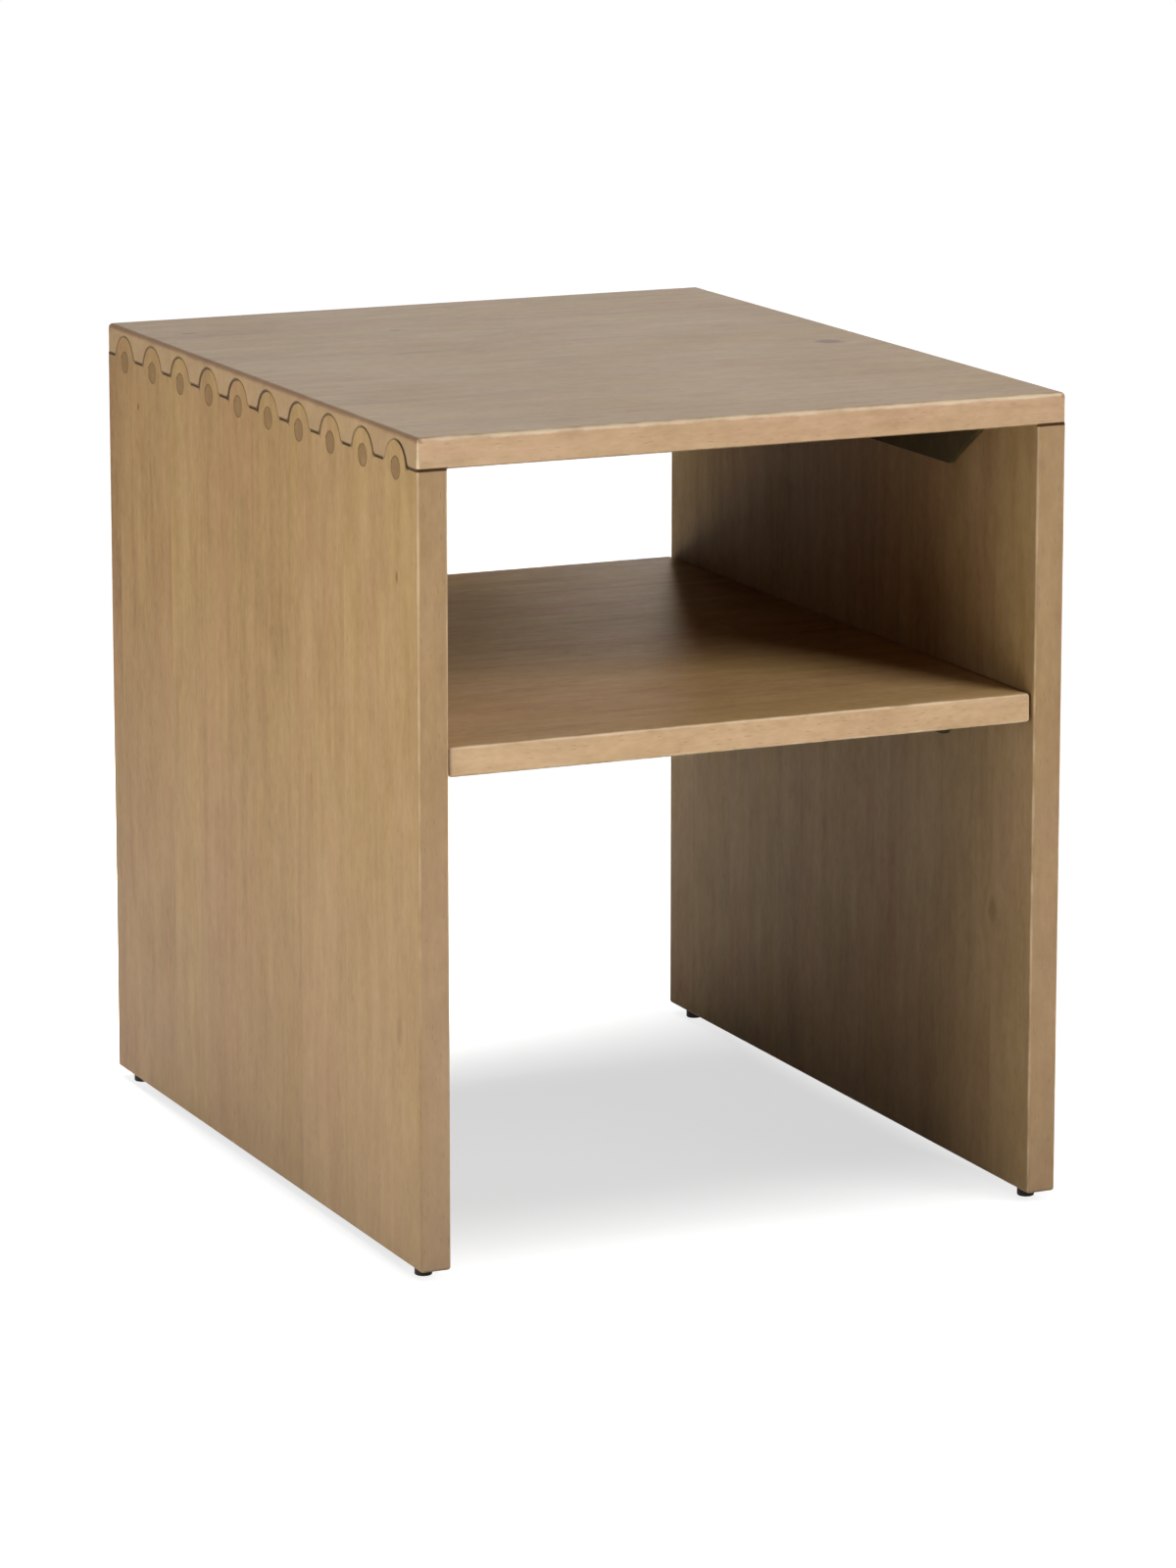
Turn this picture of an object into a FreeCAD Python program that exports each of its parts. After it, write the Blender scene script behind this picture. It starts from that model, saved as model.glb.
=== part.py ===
import FreeCAD, Part
import math
import os

# End table with a shelf: two upright side panels carry a flush top, locked to them by a
# scalloped pin joint, and an open shelf that hangs on steel angle brackets.
#
# Frame: +X to the right, +Y to the back, +Z up. The origin is on the floor, under the
# middle of the table. Every length is in millimetres, every angle in degrees.
#
# The table is its own mirror image, so each side piece is made once, for the right side,
# and mirrored across X = 0 for the left side.

Vector = FreeCAD.Vector

# ---------------------------------------------------------------- driving dimensions

WIDTH = 515.0                 # across the outer faces of the side panels
DEPTH = 630.0                 # front edge to back edge
HEIGHT = 613.0                # floor to the upper face of the top

TOP_THICKNESS = 23.0
PANEL_THICKNESS = 23.5
SHELF_THICKNESS = 22.0
SHELF_SURFACE_HEIGHT = 390.0  # floor to the upper face of the shelf
SHELF_SETBACK = 3.0           # shelf edge behind the panels' front and back edges
SHELF_END_GAP = 1.5           # air between a shelf end and its panel

TOP_ARRIS = 3.5               # rounding of the top's upper and upright edges
PANEL_ARRIS = 2.5             # rounding of the panels' upright and lower edges
SHELF_ARRIS = 3.0             # rounding of the shelf's edges
SEAM_ARRIS = 1.5              # rounding of top and panels where they meet at front and back

# Scalloped joint: round tongues of the panel lie in coves of the top's end, and a wooden
# pin passes through each tongue.
PIN_COUNT = 10                # along each side
PIN_DIAMETER = 17.0
PIN_LENGTH = 20.0
PIN_DROP = 3.4                # pin's centre below the underside of the top
PIN_END_DISTANCE = 39.0       # front and back edge to the nearest pin's centre
PIN_CHAMFER = 0.5
PIN_CLEARANCE = 0.05          # radial, filled with glue
TONGUE_DEPTH = 12.0           # outer face to the back of a tongue
TONGUE_COVER = 6.0            # wood left in the top above a tongue
TONGUE_FOOT_RADIUS = 4.0      # rounding where a tongue meets the flats between tongues
COVE_CLEARANCE = 0.15         # glue gap around a tongue
SEAM_GROOVE = 0.6             # depth of the V along the joint line, and half its width

# Steel angle brackets in the inner corners.
BRACKET_THICKNESS = 5.0
BRACKET_FLANGE = 30.0         # width of the level flange
TOP_BRACKET_DROP = 47.0       # height of the upright flange under the top
SHELF_BRACKET_DROP = 33.5     # height of the upright flange under the shelf
TOP_BRACKET_SETBACK = 60.5    # front and back edge of the table to the bracket's upper end
SHELF_BRACKET_SETBACK = 85.0
BRACKET_END_ANGLE = 33.7      # slope of the bevelled ends above level
BRACKET_ROOT_RADIUS = 4.0     # inside the bend

# Pan head wood screws of the brackets.
SCREW_DIAMETER = 4.0
SCREW_LENGTH = 18.0           # under the head
SCREW_HEAD_DIAMETER = 8.0
SCREW_HEAD_HEIGHT = 2.6
SCREW_HEAD_RIM = 0.8          # straight edge of the head, under its crown
SCREWS_PER_FLANGE = 4
SCREW_END_DISTANCE = 30.0     # end of the bracket's lower edge to the nearest screw
SCREW_CORNER_DISTANCE = 18.0  # back of the bracket's bend to the screw line
SCREW_HOLE_CLEARANCE = 0.3    # radial, in the steel

# Cross recess in every screw head.
RECESS_SPAN = 4.2
RECESS_SLOT = 0.9
RECESS_DEPTH = 1.4

# Round plastic glides under the panels.
GLIDE_DIAMETER = 13.0
GLIDE_HEIGHT = 8.0
GLIDE_INSET = 24.0            # front and back edge to the glide's centre
GLIDE_EDGE_RADIUS = 1.0
GLIDE_SCREW_DIAMETER = 3.0
GLIDE_SCREW_LENGTH = 18.0     # whole countersunk screw
GLIDE_SCREW_HEAD = 6.0
GLIDE_SCREW_SINK = 1.0        # head above the floor

# -------------------------------------------------------------------- derived places

X_OUT = WIDTH / 2
X_IN = X_OUT - PANEL_THICKNESS
Y_EDGE = DEPTH / 2
Z_UNDER_TOP = HEIGHT - TOP_THICKNESS
Z_UNDER_SHELF = SHELF_SURFACE_HEIGHT - SHELF_THICKNESS

PIN_PITCH = (DEPTH - 2 * PIN_END_DISTANCE) / (PIN_COUNT - 1)
PIN_Z = Z_UNDER_TOP - PIN_DROP
PIN_YS = [-Y_EDGE + PIN_END_DISTANCE + i * PIN_PITCH for i in range(PIN_COUNT)]
TONGUE_RADIUS = HEIGHT - TONGUE_COVER - PIN_Z

GLIDE_X = X_OUT - PANEL_THICKNESS / 2
GLIDE_Y = Y_EDGE - GLIDE_INSET

TINY = 0.01                   # tolerance when edges are picked by place
UP = Vector(0, 0, 1)
OUTWARD = Vector(1, 0, 0)     # from the middle to the right


# ------------------------------------------------------------------------ small tools

def block(low, high):
    """Square-edged block between two corners."""
    size = high - low
    return Part.makeBox(size.x, size.y, size.z, low)


def edges_where(shape, wanted):
    """Edges of a shape whose middle point passes the test."""
    return [edge for edge in shape.Edges if wanted(edge.CenterOfMass)]


def rod(start, direction, length, radius):
    """Round bar from a point along a direction."""
    return Part.makeCylinder(radius, length, start, direction)


def mirrored(shape):
    """The same piece on the other side of the table."""
    return shape.mirror(Vector(0, 0, 0), Vector(1, 0, 0))


def turned(outline):
    """Solid turned about Z from an outline of edges in the XZ plane."""
    face = Part.Face(Part.Wire(outline))
    return face.revolve(Vector(0, 0, 0), Vector(0, 0, 1), 360)


def line(x0, z0, x1, z1):
    """Straight edge in the XZ plane."""
    return Part.LineSegment(Vector(x0, 0, z0), Vector(x1, 0, z1)).toShape()


def arc(x0, z0, x1, z1, x2, z2):
    """Round edge in the XZ plane through three points."""
    return Part.Arc(Vector(x0, 0, z0), Vector(x1, 0, z1), Vector(x2, 0, z2)).toShape()


def lean(radius):
    """How far the middle of a quarter round lies in from each of its two flats."""
    return radius * (1 - math.sqrt(0.5))


# ---------------------------------------------------------------------- scalloped joint

def tongue_arcs(y, radius, x):
    """Round outline of one tongue: hollow foot, crown and hollow foot, from front to back.

    The feet run out level on the underside of the top.
    """
    foot = TONGUE_FOOT_RADIUS
    foot_z = Z_UNDER_TOP + foot
    foot_y = math.sqrt((radius + foot) ** 2 - (foot_z - PIN_Z) ** 2)
    share = radius / (radius + foot)
    touch_y = foot_y * share
    touch_z = PIN_Z + (foot_z - PIN_Z) * share
    # Seen from its centre, a foot's arc goes from the touching point to straight down.
    to_touch = math.atan2(touch_z - foot_z, touch_y - foot_y) % (2 * math.pi)
    straight_down = 1.5 * math.pi
    middle = (to_touch + straight_down) / 2
    middle_y = foot_y + foot * math.cos(middle)
    middle_z = foot_z + foot * math.sin(middle)

    def at(side_y, z):
        return Vector(x, y + side_y, z)

    return [
        Part.Arc(at(-foot_y, Z_UNDER_TOP), at(-middle_y, middle_z), at(-touch_y, touch_z)),
        Part.Arc(at(-touch_y, touch_z), at(0, PIN_Z + radius), at(touch_y, touch_z)),
        Part.Arc(at(touch_y, touch_z), at(middle_y, middle_z), at(foot_y, Z_UNDER_TOP)),
    ]


def ends_of(arcs):
    """First and last point of a tongue's outline."""
    return arcs[0].StartPoint, arcs[-1].EndPoint


def tongue(y, radius, x_front):
    """One round-topped tongue, with a root that goes down below the underside of the top."""
    x_back = X_OUT - TONGUE_DEPTH
    arcs = tongue_arcs(y, radius, x_back)
    first, last = ends_of(arcs)
    sink = Vector(0, 0, -TONGUE_FOOT_RADIUS)
    outline = [curve.toShape() for curve in arcs]
    for a, b in ((last, last + sink), (last + sink, first + sink), (first + sink, first)):
        outline.append(Part.makeLine(a, b))
    return Part.Face(Part.Wire(outline)).extrude(Vector(x_front - x_back, 0, 0))


def seam_groove():
    """V-shaped cut that eases both edges of the joint line on the right outer face."""
    run_out = Vector(0, PANEL_ARRIS, 0)
    here = Vector(X_OUT, -Y_EDGE, Z_UNDER_TOP) - run_out
    start = here
    path = []
    for y in PIN_YS:
        arcs = tongue_arcs(y, TONGUE_RADIUS, X_OUT)
        first, last = ends_of(arcs)
        path.append(Part.makeLine(here, first))
        path += [curve.toShape() for curve in arcs]
        here = last
    path.append(Part.makeLine(here, Vector(X_OUT, Y_EDGE, Z_UNDER_TOP) + run_out))
    half = SEAM_GROOVE
    corners = [start + Vector(x, 0, z) for x, z in ((half, 0), (0, half), (-half, 0), (0, -half))]
    section = Part.makePolygon(corners + [corners[0]])
    return Part.Wire(path).makePipeShell([section], True, False)


def seam_waste(y_way, z_way):
    """Strip that rounding takes off a board's level edge where the top meets the panels.

    The ways, each 1 or -1, point from the edge into the board.
    """
    edge_y = -y_way * Y_EDGE
    centre_y = edge_y + y_way * SEAM_ARRIS
    centre_z = Z_UNDER_TOP + z_way * SEAM_ARRIS
    low = Vector(-X_OUT, min(edge_y, centre_y), min(Z_UNDER_TOP, centre_z))
    strip = Part.makeBox(WIDTH, SEAM_ARRIS, SEAM_ARRIS, low)
    kept = rod(Vector(-X_OUT, centre_y, centre_z), OUTWARD, WIDTH, SEAM_ARRIS)
    return strip.cut(kept)


def joint_pin(y, radius):
    """Bar of the joint's pin, from its blind end to the panel's outer face."""
    return rod(Vector(X_OUT - PIN_LENGTH, y, PIN_Z), OUTWARD, PIN_LENGTH, radius)


def pin_holes():
    """Everything that the pins' holes take out of the right side."""
    radius = PIN_DIAMETER / 2 + PIN_CLEARANCE
    return [joint_pin(y, radius) for y in PIN_YS]


def make_joint_pins():
    """Wooden pins of the right side, with an eased end that is flush with the panel."""
    pins = []
    for y in PIN_YS:
        pin = joint_pin(y, PIN_DIAMETER / 2)
        rim = edges_where(pin, lambda p: abs(p.x - X_OUT) < TINY)
        pins.append(pin.makeChamfer(PIN_CHAMFER, rim))
    return pins


# ----------------------------------------------------------------------------- brackets

class Corner:
    """Inner corner that a bracket sits in: the board above it and the bracket's size."""

    def __init__(self, z_under, drop, setback):
        self.z_under = z_under
        self.drop = drop
        self.upper_half = Y_EDGE - setback
        self.lower_half = self.upper_half - drop / math.tan(math.radians(BRACKET_END_ANGLE))
        first = -self.lower_half + SCREW_END_DISTANCE
        step = -2 * first / (SCREWS_PER_FLANGE - 1)
        self.screw_ys = [first + i * step for i in range(SCREWS_PER_FLANGE)]

    def board_screw_starts(self):
        """Under the level flange, where screws go up into the board."""
        x = X_IN - SCREW_CORNER_DISTANCE
        return [Vector(x, y, self.z_under - BRACKET_THICKNESS) for y in self.screw_ys]

    def panel_screw_starts(self):
        """Beside the upright flange, where screws go across into the panel."""
        z = self.z_under - SCREW_CORNER_DISTANCE
        return [Vector(X_IN - BRACKET_THICKNESS, y, z) for y in self.screw_ys]


TOP_CORNER = Corner(Z_UNDER_TOP, TOP_BRACKET_DROP, TOP_BRACKET_SETBACK)
SHELF_CORNER = Corner(Z_UNDER_SHELF, SHELF_BRACKET_DROP, SHELF_BRACKET_SETBACK)


def make_bracket(corner):
    """Steel angle with bevelled ends and a hole for each screw."""
    x0 = X_IN - BRACKET_FLANGE
    x1 = X_IN - BRACKET_THICKNESS
    z1 = corner.z_under - BRACKET_THICKNESS
    z0 = corner.z_under - corner.drop
    root = BRACKET_ROOT_RADIUS
    section = [
        line(x0, corner.z_under, X_IN, corner.z_under),
        line(X_IN, corner.z_under, X_IN, z0),
        line(X_IN, z0, x1, z0),
        line(x1, z0, x1, z1 - root),
        arc(x1, z1 - root, x1 - lean(root), z1 - lean(root), x1 - root, z1),
        line(x1 - root, z1, x0, z1),
        line(x0, z1, x0, corner.z_under),
    ]
    angle = Part.Face(Part.Wire(section)).extrude(Vector(0, 2 * corner.upper_half, 0))
    angle.translate(Vector(0, -corner.upper_half, 0))

    side_view = [
        Vector(x0, -corner.upper_half, corner.z_under),
        Vector(x0, corner.upper_half, corner.z_under),
        Vector(x0, corner.lower_half, z0),
        Vector(x0, -corner.lower_half, z0),
    ]
    outline = Part.makePolygon(side_view + [side_view[0]])
    bracket = angle.common(Part.Face(outline).extrude(Vector(BRACKET_FLANGE, 0, 0)))

    radius = SCREW_DIAMETER / 2 + SCREW_HOLE_CLEARANCE
    holes = [rod(p, UP, BRACKET_THICKNESS, radius) for p in corner.board_screw_starts()]
    holes += [rod(p, OUTWARD, BRACKET_THICKNESS, radius) for p in corner.panel_screw_starts()]
    return bracket.cut(holes)


# ------------------------------------------------------------------------------- screws

def cross_recess(z_face):
    """Cross-shaped pocket that starts at a head's face and goes up into it."""
    half = RECESS_SPAN / 2
    slot = RECESS_SLOT / 2
    along = block(Vector(-half, -slot, z_face), Vector(half, slot, z_face + RECESS_DEPTH))
    across = block(Vector(-slot, -half, z_face), Vector(slot, half, z_face + RECESS_DEPTH))
    return along.fuse(across)


def pan_head_screw():
    """Screw that points up: its head hangs below Z = 0 and its point is at the top."""
    head = SCREW_HEAD_DIAMETER / 2
    shank = SCREW_DIAMETER / 2
    point = SCREW_LENGTH - SCREW_DIAMETER
    rise = SCREW_HEAD_HEIGHT - SCREW_HEAD_RIM
    crown = (head ** 2 + rise ** 2) / (2 * rise)
    middle = math.atan2(head, crown - rise) / 2
    crown_x = crown * math.sin(middle)
    crown_z = crown * (1 - math.cos(middle)) - SCREW_HEAD_HEIGHT
    outline = [
        arc(0, -SCREW_HEAD_HEIGHT, crown_x, crown_z, head, -SCREW_HEAD_RIM),
        line(head, -SCREW_HEAD_RIM, head, 0),
        line(head, 0, shank, 0),
        line(shank, 0, shank, point),
        line(shank, point, 0, SCREW_LENGTH),
        line(0, SCREW_LENGTH, 0, -SCREW_HEAD_HEIGHT),
    ]
    return turned(outline).cut(cross_recess(-SCREW_HEAD_HEIGHT))


def countersunk_screw():
    """Screw that points up, with the flat face of its head at Z = 0."""
    head = GLIDE_SCREW_HEAD / 2
    shank = GLIDE_SCREW_DIAMETER / 2
    point = GLIDE_SCREW_LENGTH - GLIDE_SCREW_DIAMETER
    outline = [
        line(0, 0, head, 0),
        line(head, 0, shank, head - shank),
        line(shank, head - shank, shank, point),
        line(shank, point, 0, GLIDE_SCREW_LENGTH),
        line(0, GLIDE_SCREW_LENGTH, 0, 0),
    ]
    return turned(outline).cut(cross_recess(0))


def board_screws(corner):
    """Screws that hold a bracket to the board above it."""
    screws = []
    for start in corner.board_screw_starts():
        screws.append(pan_head_screw().translated(start))
    return screws


def panel_screws(corner):
    """Screws that hold a bracket to the side panel."""
    screws = []
    for start in corner.panel_screw_starts():
        screw = pan_head_screw()
        screw.rotate(Vector(0, 0, 0), Vector(0, 1, 0), 90)
        screws.append(screw.translated(start))
    return screws


def pilot_holes(starts, direction):
    """What the shanks of screws take out of the wood behind a bracket."""
    return [rod(start, direction, SCREW_LENGTH, SCREW_DIAMETER / 2) for start in starts]


# ------------------------------------------------------------------------------- glides

def make_glide(y):
    """Round glide with an eased running edge and a seat for its countersunk screw."""
    radius = GLIDE_DIAMETER / 2
    edge = GLIDE_EDGE_RADIUS
    head = GLIDE_SCREW_HEAD / 2
    shank = GLIDE_SCREW_DIAMETER / 2
    seat = GLIDE_SCREW_SINK
    outline = [
        line(head, 0, radius - edge, 0),
        arc(radius - edge, 0, radius - lean(edge), lean(edge), radius, edge),
        line(radius, edge, radius, GLIDE_HEIGHT),
        line(radius, GLIDE_HEIGHT, shank, GLIDE_HEIGHT),
        line(shank, GLIDE_HEIGHT, shank, seat + head - shank),
        line(shank, seat + head - shank, head, seat),
        line(head, seat, head, 0),
    ]
    return turned(outline).translated(Vector(GLIDE_X, y, 0))


def make_glide_screw(y):
    """Screw through a glide into the panel's lower end."""
    return countersunk_screw().translated(Vector(GLIDE_X, y, GLIDE_SCREW_SINK))


def glide_pilot(y):
    """Hole of a glide's screw in the panel."""
    start = Vector(GLIDE_X, y, GLIDE_SCREW_SINK)
    return rod(start, UP, GLIDE_SCREW_LENGTH, GLIDE_SCREW_DIAMETER / 2)


# ------------------------------------------------------------------------------- boards

def make_panel():
    """Right side panel: its tongues stand up along the outer half of its upper end."""
    board = block(Vector(X_IN, -Y_EDGE, GLIDE_HEIGHT), Vector(X_OUT, Y_EDGE, Z_UNDER_TOP))

    free_edges = edges_where(board, lambda p: p.z < Z_UNDER_TOP - TINY)
    board = board.makeFillet(PANEL_ARRIS, free_edges)
    tongues = [tongue(y, TONGUE_RADIUS, X_OUT) for y in PIN_YS]
    board = board.fuse(tongues).removeSplitter()

    cuts = [seam_waste(1, -1), seam_waste(-1, -1), seam_groove()] + pin_holes()
    for corner in (TOP_CORNER, SHELF_CORNER):
        cuts += pilot_holes(corner.panel_screw_starts(), OUTWARD)
    cuts += [glide_pilot(y) for y in (-GLIDE_Y, GLIDE_Y)]
    return board.cut(cuts)


def make_top():
    """Top board, with coves in both ends for the panels' tongues."""
    board = block(Vector(-X_OUT, -Y_EDGE, Z_UNDER_TOP), Vector(X_OUT, Y_EDGE, HEIGHT))

    free_edges = edges_where(board, lambda p: p.z > Z_UNDER_TOP + TINY)
    board = board.makeFillet(TOP_ARRIS, free_edges)

    radius = TONGUE_RADIUS + COVE_CLEARANCE
    cuts = [tongue(y, radius, X_OUT + TOP_ARRIS) for y in PIN_YS]
    cuts += [seam_groove()] + pin_holes()
    cuts += pilot_holes(TOP_CORNER.board_screw_starts(), UP)
    cuts += [mirrored(cut) for cut in cuts]
    return board.cut(cuts + [seam_waste(1, 1), seam_waste(-1, 1)])


def make_shelf():
    """Shelf board, eased on every edge and clear of the panels at both ends."""
    x = X_IN - SHELF_END_GAP
    y = Y_EDGE - SHELF_SETBACK
    board = block(Vector(-x, -y, Z_UNDER_SHELF), Vector(x, y, SHELF_SURFACE_HEIGHT))
    board = board.makeFillet(SHELF_ARRIS, board.Edges)
    holes = pilot_holes(SHELF_CORNER.board_screw_starts(), UP)
    return board.cut(holes + [mirrored(hole) for hole in holes])


# ------------------------------------------------------------------------------ assembly

def write(name, solids):
    """Write one node: its solids, each apart from the others."""
    shape = solids[0] if len(solids) == 1 else Part.makeCompound(solids)
    shape.exportStep("parts/" + name + ".step")
    faults = [solid for solid in solids if not solid.isValid() or len(solid.Solids) != 1]
    print(name, len(solids), "solid(s)", round(sum(s.Volume for s in solids)), "mm3",
          "FAULTY" if faults else "sound")


def write_pair(name, solids):
    """Write a side piece for the right side and, mirrored, for the left side."""
    write(name + "_right", solids)
    write(name + "_left", [mirrored(solid) for solid in solids])


os.makedirs("parts", exist_ok=True)
write("table_top", [make_top()])
write("shelf", [make_shelf()])
write_pair("side_panel", [make_panel()])
write_pair("joint_pins", make_joint_pins())
write_pair("top_bracket", [make_bracket(TOP_CORNER)])
write_pair("top_bracket_board_screws", board_screws(TOP_CORNER))
write_pair("top_bracket_panel_screws", panel_screws(TOP_CORNER))
write_pair("shelf_bracket", [make_bracket(SHELF_CORNER)])
write_pair("shelf_bracket_board_screws", board_screws(SHELF_CORNER))
write_pair("shelf_bracket_panel_screws", panel_screws(SHELF_CORNER))
for place, glide_y in (("front", -GLIDE_Y), ("back", GLIDE_Y)):
    write_pair("glide_" + place, [make_glide(glide_y)])
    write_pair("glide_screw_" + place, [make_glide_screw(glide_y)])
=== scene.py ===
# %% [markdown]
# # End table with a shelf
# Two upright boards, a top and a shelf, all of edge-glued hardwood under a thin brown stain and
# a satin lacquer. The joiner's work comes in as a finished model, at its real size, and this
# lesson dresses it: it sets a camera and a plain studio, and then builds each finish out of
# shader nodes. All lengths in the model are metres, with +X right, +Y back and +Z up.

# %% Load the joiner's model
import math
import bmesh
import bpy
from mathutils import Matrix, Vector


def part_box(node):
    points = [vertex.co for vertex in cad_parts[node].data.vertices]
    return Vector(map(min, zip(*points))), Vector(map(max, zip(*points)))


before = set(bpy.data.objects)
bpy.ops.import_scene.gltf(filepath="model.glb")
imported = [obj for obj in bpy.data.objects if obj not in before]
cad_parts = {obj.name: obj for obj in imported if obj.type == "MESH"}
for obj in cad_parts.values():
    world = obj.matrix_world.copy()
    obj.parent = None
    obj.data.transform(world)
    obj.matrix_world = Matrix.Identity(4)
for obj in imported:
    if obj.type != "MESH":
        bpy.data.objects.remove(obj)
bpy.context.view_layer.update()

MM = 0.001

# %% [markdown]
# ## The camera
# A long lens far away keeps the table's edges nearly parallel, as in a catalogue picture. The
# camera stands to the left and a little above the top, and it is shifted down instead of
# being tilted further, which keeps the upright boards upright.

# %% Camera
SENSOR = 36.0                       # mm
LENS = 139.3                        # mm
CAMERA_PLACE = Vector((-1.8713, -4.1646, 1.2864))
CAMERA_PITCH = 10.948               # degrees below level
CAMERA_TURN = 24.381                # degrees to the right of straight back
CAMERA_SHIFT = -0.1                 # of the picture's long side

camera_data = bpy.data.cameras.new("camera")
camera_data.lens = LENS
camera_data.sensor_width = SENSOR
camera_data.shift_y = CAMERA_SHIFT
camera = bpy.data.objects.new("camera", camera_data)
camera.location = CAMERA_PLACE
camera.rotation_euler = (math.radians(90 - CAMERA_PITCH), 0, math.radians(-CAMERA_TURN))
bpy.context.scene.collection.objects.link(camera)
bpy.context.scene.camera = camera
print("camera is", round(CAMERA_PLACE.length, 2), "m from where the table stands")

# %% [markdown]
# ## Two helpers for every material
# Colours are written as hex values, the way a paint card gives them, and shaders want linear
# light, so one function turns them. A second function adds a node: it sets the node's options
# and then fills its sockets, in order or by name, from plain values or from other nodes.

# %% Colour and node helpers
def colour(hex_value):
    """Linear colour from an sRGB hex value such as B08A60."""
    parts = [int(hex_value[i:i + 2], 16) / 255 for i in (0, 2, 4)]
    linear = [c / 12.92 if c <= 0.04045 else ((c + 0.055) / 1.055) ** 2.4 for c in parts]
    return (*linear, 1.0)


def add(tree, kind, inputs=(), stops=(), **options):
    """Add a node; a node given as an input is linked by its first shown output."""
    node = tree.nodes.new("ShaderNode" + kind)
    for option, value in options.items():
        setattr(node, option, value)
    for count, (place, value) in enumerate(stops):
        elements = node.color_ramp.elements
        element = elements[count] if count < 2 else elements.new(place)
        element.position = place
        element.color = value
    sockets = [socket for socket in node.inputs if socket.enabled]
    names = [socket.name for socket in sockets]
    pairs = inputs.items() if isinstance(inputs, dict) else enumerate(inputs)
    for key, value in pairs:
        socket = sockets[names.index(key) if isinstance(key, str) else key]
        if isinstance(value, bpy.types.Node):
            value = next(output for output in value.outputs if output.enabled)
        if isinstance(value, bpy.types.NodeSocket):
            tree.links.new(value, socket)
        else:
            socket.default_value = value
    return node


def new_material(name):
    """Empty material with its tree and its output node."""
    material = bpy.data.materials.new(name)
    material.use_nodes = True
    material.node_tree.nodes.clear()
    return material, material.node_tree, add(material.node_tree, "OutputMaterial")


print("helpers ready; mid brown is", [round(c, 3) for c in colour("A88A65")[:3]])

# %% [markdown]
# ## The studio
# The floor is one large sheet of paper. It could simply be painted white, but then it would
# throw much light up into the shelf's bay. So it is a pale grey, with painted shade under the
# table: a darker grey there. Rays that come from the camera or off a glossy surface see it
# lifted towards white, less so under the table, which paints shade there too. The lift is
# added, not mixed in, so the table's shadow stays on it.

# %% The sheet of paper
FLOOR_SIZE = 12.0                   # metres

floor_mesh = bpy.data.meshes.new("floor")
sheet = bmesh.new()
bmesh.ops.create_grid(sheet, x_segments=1, y_segments=1, size=FLOOR_SIZE / 2)
sheet.to_mesh(floor_mesh)
sheet.free()
floor = bpy.data.objects.new("floor", floor_mesh)
bpy.context.scene.collection.objects.link(floor)
print("floor", FLOOR_SIZE, "m wide")

# %% [markdown]
# ## The studio: matt paper
# Paper only scatters light, so it shows no reflection of the table. How clear the sheet is,
# from the painted shade under the table to the bright paper far off, is measured from the
# table's middle in three ways, and the clearest of the three counts.

# %% Paper
FLOOR_GREY, SHADED_GREY = "A8A8A6", "565654"
FLOOR_LIFT = (0.65, 1.0)            # under the table and away from it
CLEAR_SIDE = (0.22, 0.29)           # metres from the table's middle, to either side
CLEAR_FRONT = (0.12, 0.42)          # to the front and to the back
CLEAR_FAR = (0.7, 1.8)              # in any direction
CLEAR_BESIDE = 0.85                 # how clear it gets beside the table, 1 being far off
WHITE = (1, 1, 1, 1)


def seen_directly(tree):
    """1 for rays from the camera, off glossy surfaces or through clear ones."""
    path = add(tree, "LightPath")
    glossy = add(tree, "Math", [path.outputs["Is Camera Ray"], path.outputs["Is Glossy Ray"]],
                 operation="MAXIMUM")
    return add(tree, "Math", [glossy, path.outputs["Is Transmission Ray"]], operation="MAXIMUM")


paper, tree, output = new_material("studio_paper")
here = add(tree, "TexCoord").outputs["Object"]
away = add(tree, "SeparateXYZ", [add(tree, "VectorMath", [here], operation="ABSOLUTE")])
reach = add(tree, "VectorMath", [here], operation="LENGTH").outputs["Value"]
beside = add(tree, "MapRange", [away.outputs["X"], *CLEAR_SIDE, 0.0, CLEAR_BESIDE],
             interpolation_type="SMOOTHSTEP")
before = add(tree, "MapRange", [away.outputs["Y"], *CLEAR_FRONT, 0.0, CLEAR_BESIDE],
             interpolation_type="SMOOTHSTEP")
far = add(tree, "MapRange", [reach, *CLEAR_FAR, 0.0, 1.0], interpolation_type="SMOOTHSTEP")
clear = add(tree, "Math", [beside, before], operation="MAXIMUM")
clear = add(tree, "Math", [clear, far], operation="MAXIMUM")
# Painted shade: the paper is a darker grey under the table, and less lifted there.
grey = add(tree, "Mix", [clear, colour(SHADED_GREY), colour(FLOOR_GREY)], data_type="RGBA")
matt = add(tree, "BsdfDiffuse", {"Color": grey})
lifted = add(tree, "MapRange", [clear, 0.0, 1.0, *FLOOR_LIFT])
lift = add(tree, "Math", [seen_directly(tree), lifted], operation="MULTIPLY")
glow = add(tree, "Emission", {"Color": WHITE, "Strength": lift})
both = add(tree, "AddShader", [matt, glow])
tree.links.new(both.outputs[0], output.inputs["Surface"])
floor.data.materials.append(paper)
print("paper lifted by", FLOOR_LIFT, "and clear from", CLEAR_FAR[1], "m on")

# %% [markdown]
# ## The studio: what lies behind
# The world is white to the camera and nearly dark to the table, as in a studio whose walls
# are far away: only the lamps and the paper light the wood.

# %% World
WORLD_LIGHT = 0.02

world = bpy.data.worlds.new("studio")
bpy.context.scene.world = world
world.use_nodes = True
tree = world.node_tree
tree.nodes.clear()
strength = add(tree, "Mix", [seen_directly(tree), WORLD_LIGHT, 1.0], data_type="FLOAT")
background = add(tree, "Background", {"Color": WHITE, "Strength": strength})
tree.links.new(background.outputs[0], add(tree, "OutputWorld").inputs["Surface"])
print("world lights at", WORLD_LIGHT)

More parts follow.
